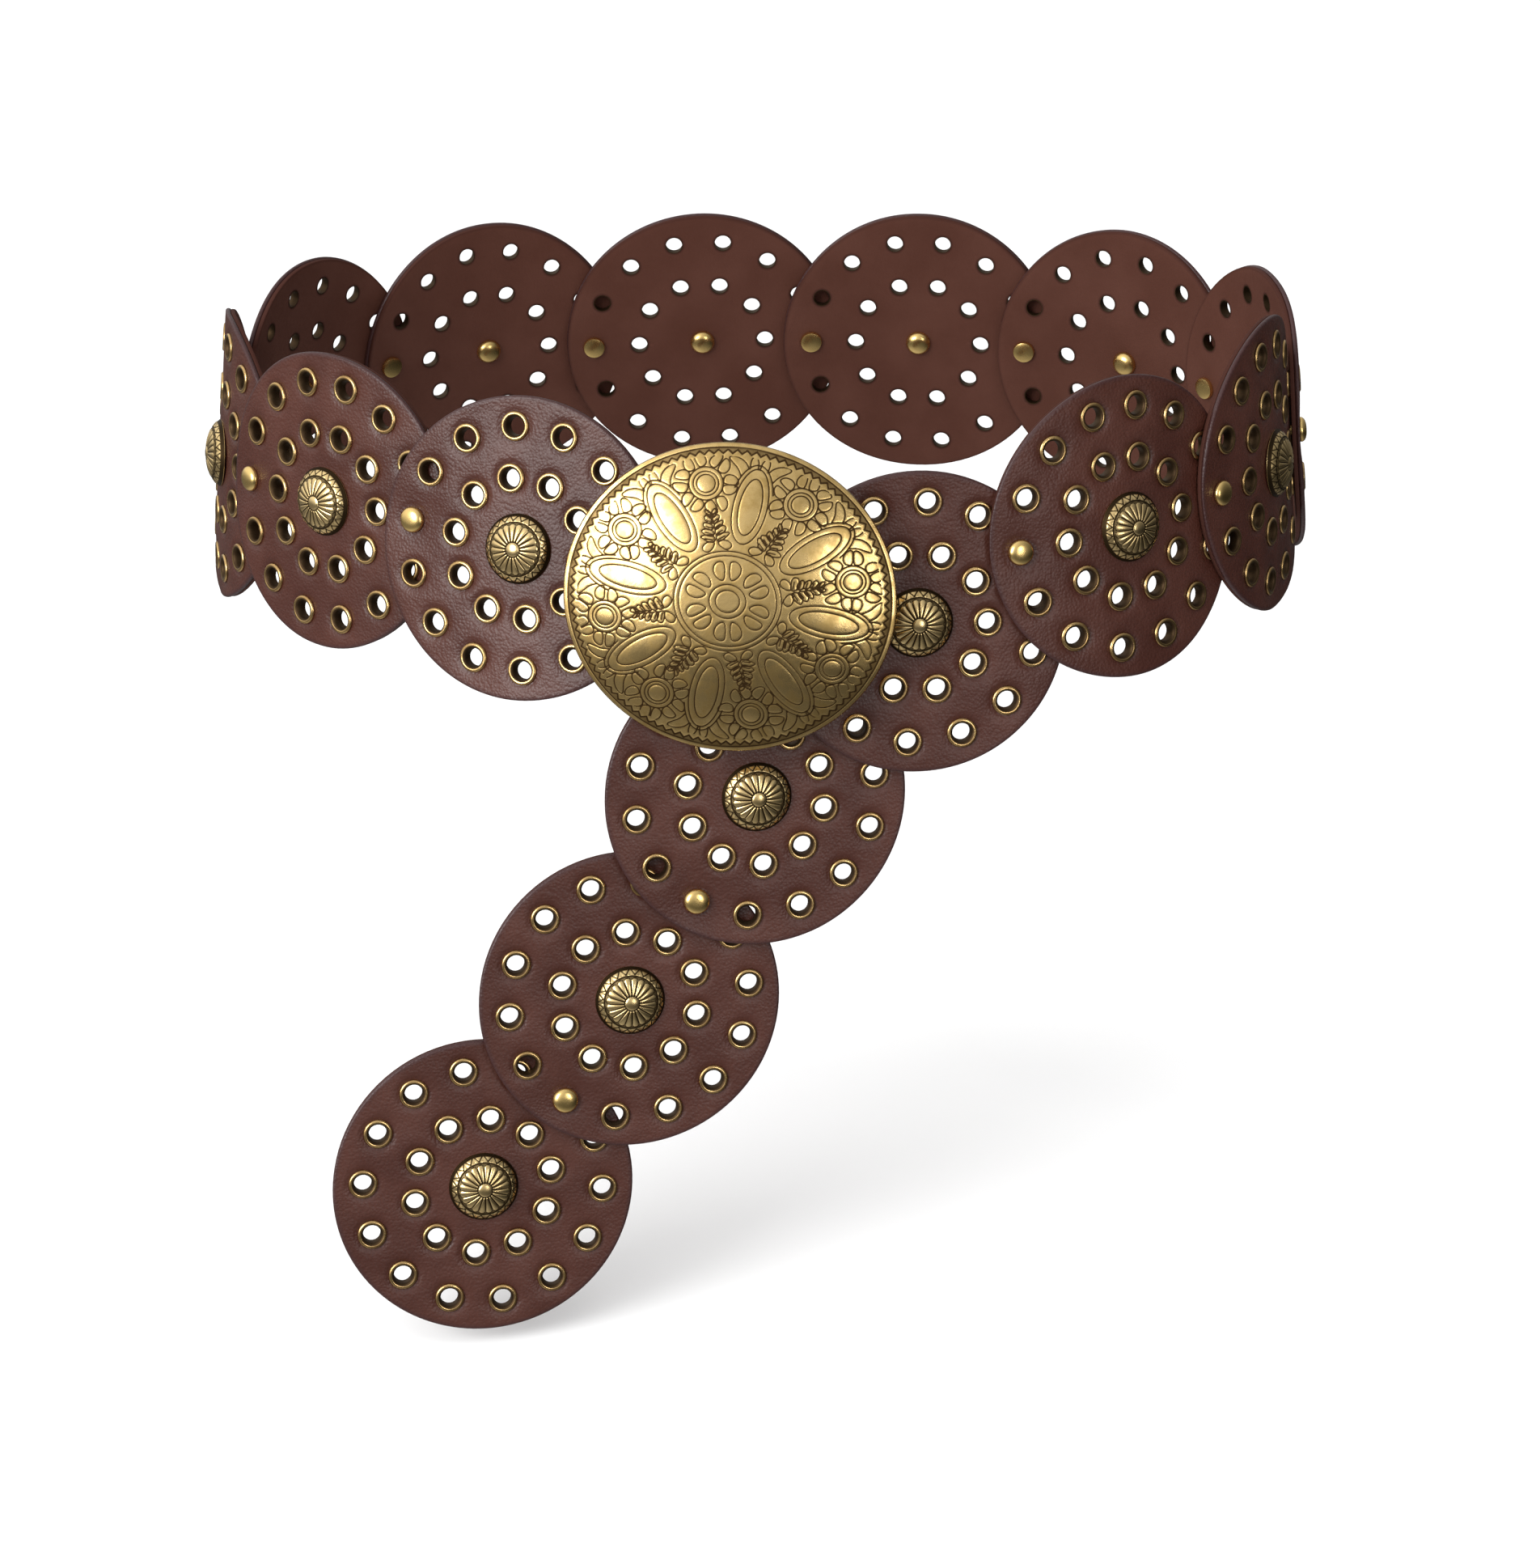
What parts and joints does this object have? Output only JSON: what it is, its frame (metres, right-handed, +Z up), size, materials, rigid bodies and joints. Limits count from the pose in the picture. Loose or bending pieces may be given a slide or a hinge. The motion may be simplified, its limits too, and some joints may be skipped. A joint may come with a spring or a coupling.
{
  "type": "concho belt",
  "caption": "Wide belt of overlapping eyeleted leather discs with a small concho on each, a large oval concho buckle in front and a hanging tail of discs.",
  "frame": {"origin": "middle of the waist loop, at the height of the rivet under the buckle plate", "axes": "+Z up along the wearer's body, -Y towards the front where the buckle is, +X to the wearer's left"},
  "size_m": [0.3452, 0.2712, 0.2834],
  "materials": {
    "leather": "burgundy brown leather with a soft sheen and a matte lining",
    "concho_brass": "antique brass, dark in the recesses",
    "buckle_brass": "engraved antique brass, dark in the lines",
    "fastening_brass": "polished antique brass"
  },
  "bodies": {
    "root": {"leather_disc_1": "leather", "leather_disc_2": "leather", "leather_disc_3": "leather", "leather_disc_4": "leather", "leather_disc_5": "leather", "leather_disc_6": "leather", "leather_disc_7": "leather", "leather_disc_8": "leather", "leather_disc_9": "leather", "leather_disc_10": "leather", "leather_disc_11": "leather", "leather_disc_12": "leather", "leather_disc_13": "leather", "leather_disc_14": "leather", "leather_disc_15": "leather", "concho_1": "concho_brass", "concho_2": "concho_brass", "concho_3": "concho_brass", "concho_4": "concho_brass", "concho_5": "concho_brass", "concho_6": "concho_brass", "concho_7": "concho_brass", "concho_8": "concho_brass", "concho_9": "concho_brass", "concho_10": "concho_brass", "concho_11": "concho_brass", "concho_12": "concho_brass", "concho_13": "concho_brass", "concho_14": "concho_brass", "concho_15": "concho_brass", "cap_rivet_1": "fastening_brass", "cap_rivet_2": "fastening_brass", "cap_rivet_3": "fastening_brass", "cap_rivet_4": "fastening_brass", "cap_rivet_5": "fastening_brass", "cap_rivet_6": "fastening_brass", "cap_rivet_7": "fastening_brass", "cap_rivet_8": "fastening_brass", "cap_rivet_9": "fastening_brass", "cap_rivet_10": "fastening_brass", "cap_rivet_11": "fastening_brass", "cap_rivet_12": "fastening_brass", "cap_rivet_13": "fastening_brass", "cap_rivet_14": "fastening_brass", "buckle_hook": "fastening_brass", "buckle_rivet": "fastening_brass", "buckle_plate": "buckle_brass"}
  },
  "joints": []
}
